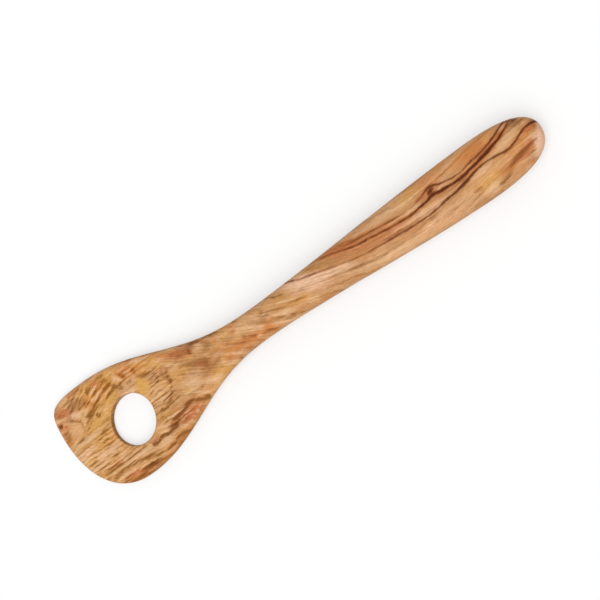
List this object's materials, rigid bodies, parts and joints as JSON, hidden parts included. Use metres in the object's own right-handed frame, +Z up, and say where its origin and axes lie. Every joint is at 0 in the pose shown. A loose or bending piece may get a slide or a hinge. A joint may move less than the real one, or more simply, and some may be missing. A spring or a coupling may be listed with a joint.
{
  "type": "risotto spoon",
  "caption": "Flat wooden stirring spoon with a round hole through its head, a pointed corner on one side of the head and a thick rounded handle.",
  "frame": {"origin": "centre of the spoon's box at its lowest level, where it lies on a table", "axes": "+X along the spoon from the head to the butt of the handle, +Y across it towards the pointed corner of the head, +Z up from the table through the upper face"},
  "size_m": [0.3, 0.06, 0.0151],
  "materials": {
    "olive_wood": "satin, oiled olive wood with dark veins"
  },
  "bodies": {
    "root": {"spoon_body": "olive_wood"}
  },
  "joints": []
}
